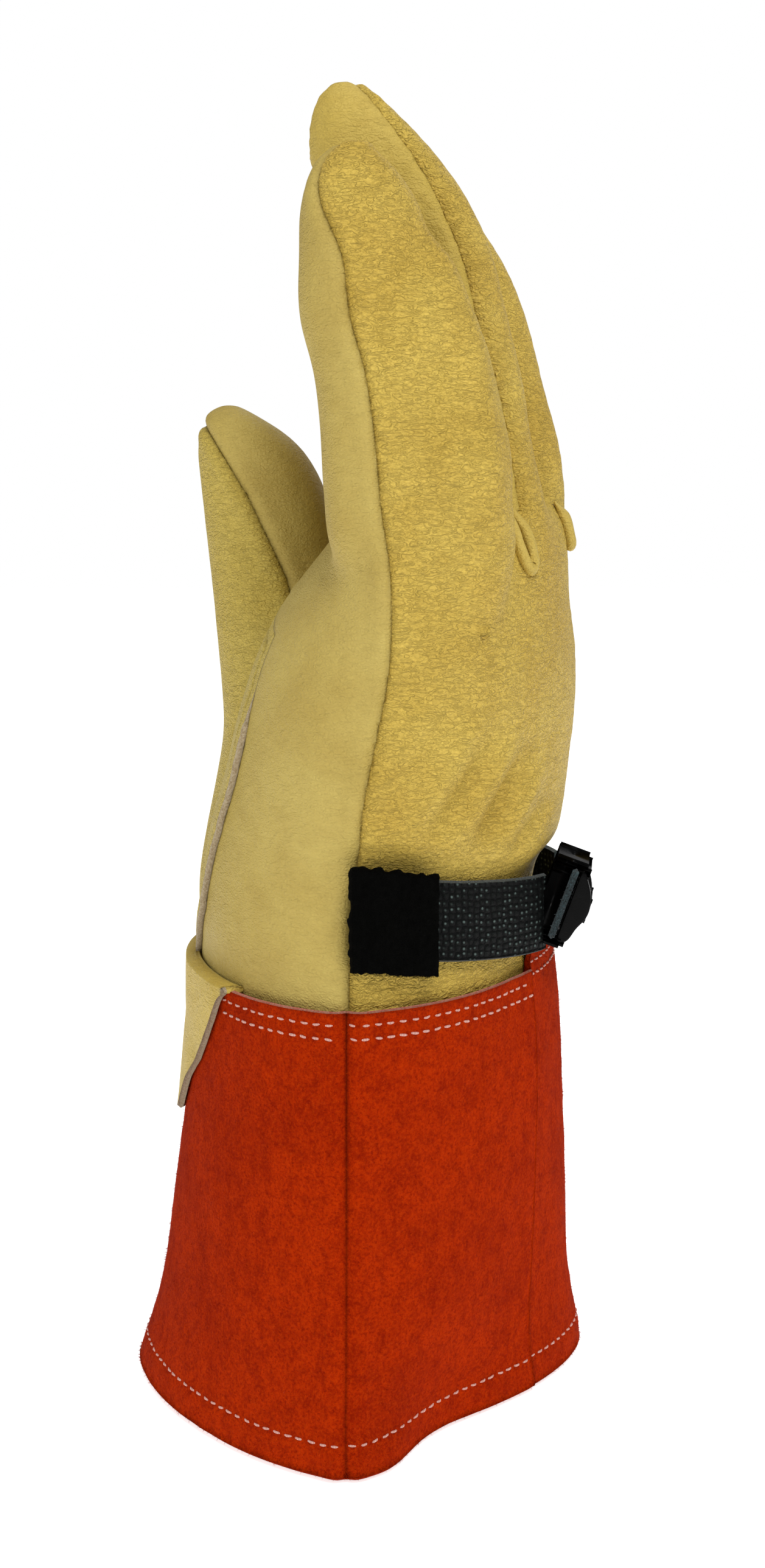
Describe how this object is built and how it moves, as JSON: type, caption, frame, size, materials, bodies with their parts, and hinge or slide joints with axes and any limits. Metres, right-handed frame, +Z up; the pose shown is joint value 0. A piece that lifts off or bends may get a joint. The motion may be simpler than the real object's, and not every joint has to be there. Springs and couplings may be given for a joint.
{
  "type": "leather protector glove",
  "caption": "Left-hand leather protector glove with a suede gauntlet cuff and a wrist strap, worn over an insulating rubber glove, standing on its hem.",
  "frame": {"origin": "centre of the bounding box in X and Y, at the hem's lowest edge", "axes": "X from the palm to the back of the hand, Y from the little finger's edge to the thumb's side, Z up along the fingers"},
  "size_m": [0.1132, 0.131, 0.309],
  "materials": {
    "palm_leather": "smooth grain, light tan-yellow",
    "back_leather": "wrinkled grain, warm yellow",
    "thumb_leather": "smooth grain, darker yellow",
    "suede": "split leather, orange nap",
    "webbing": "woven, dark green-black",
    "felt": "black felt",
    "plastic": "satin black"
  },
  "bodies": {
    "root": {"palm": "palm_leather", "back": "back_leather", "fourchette_little_ring": "palm_leather", "fourchette_ring_middle": "palm_leather", "fourchette_middle_index": "palm_leather", "thumb_front": "palm_leather", "thumb_back": "thumb_leather", "vein_patch": "back_leather", "cuff_palm": "suede", "cuff_back_ulnar": "suede", "cuff_back_radial": "suede", "strap": "webbing", "strap_patch": "felt", "strap_anchor": "webbing", "buckle": "plastic", "strap_end": "webbing", "dart_little_ring": "back_leather", "dart_ring_middle": "back_leather", "dart_middle_index": "back_leather"}
  },
  "joints": []
}
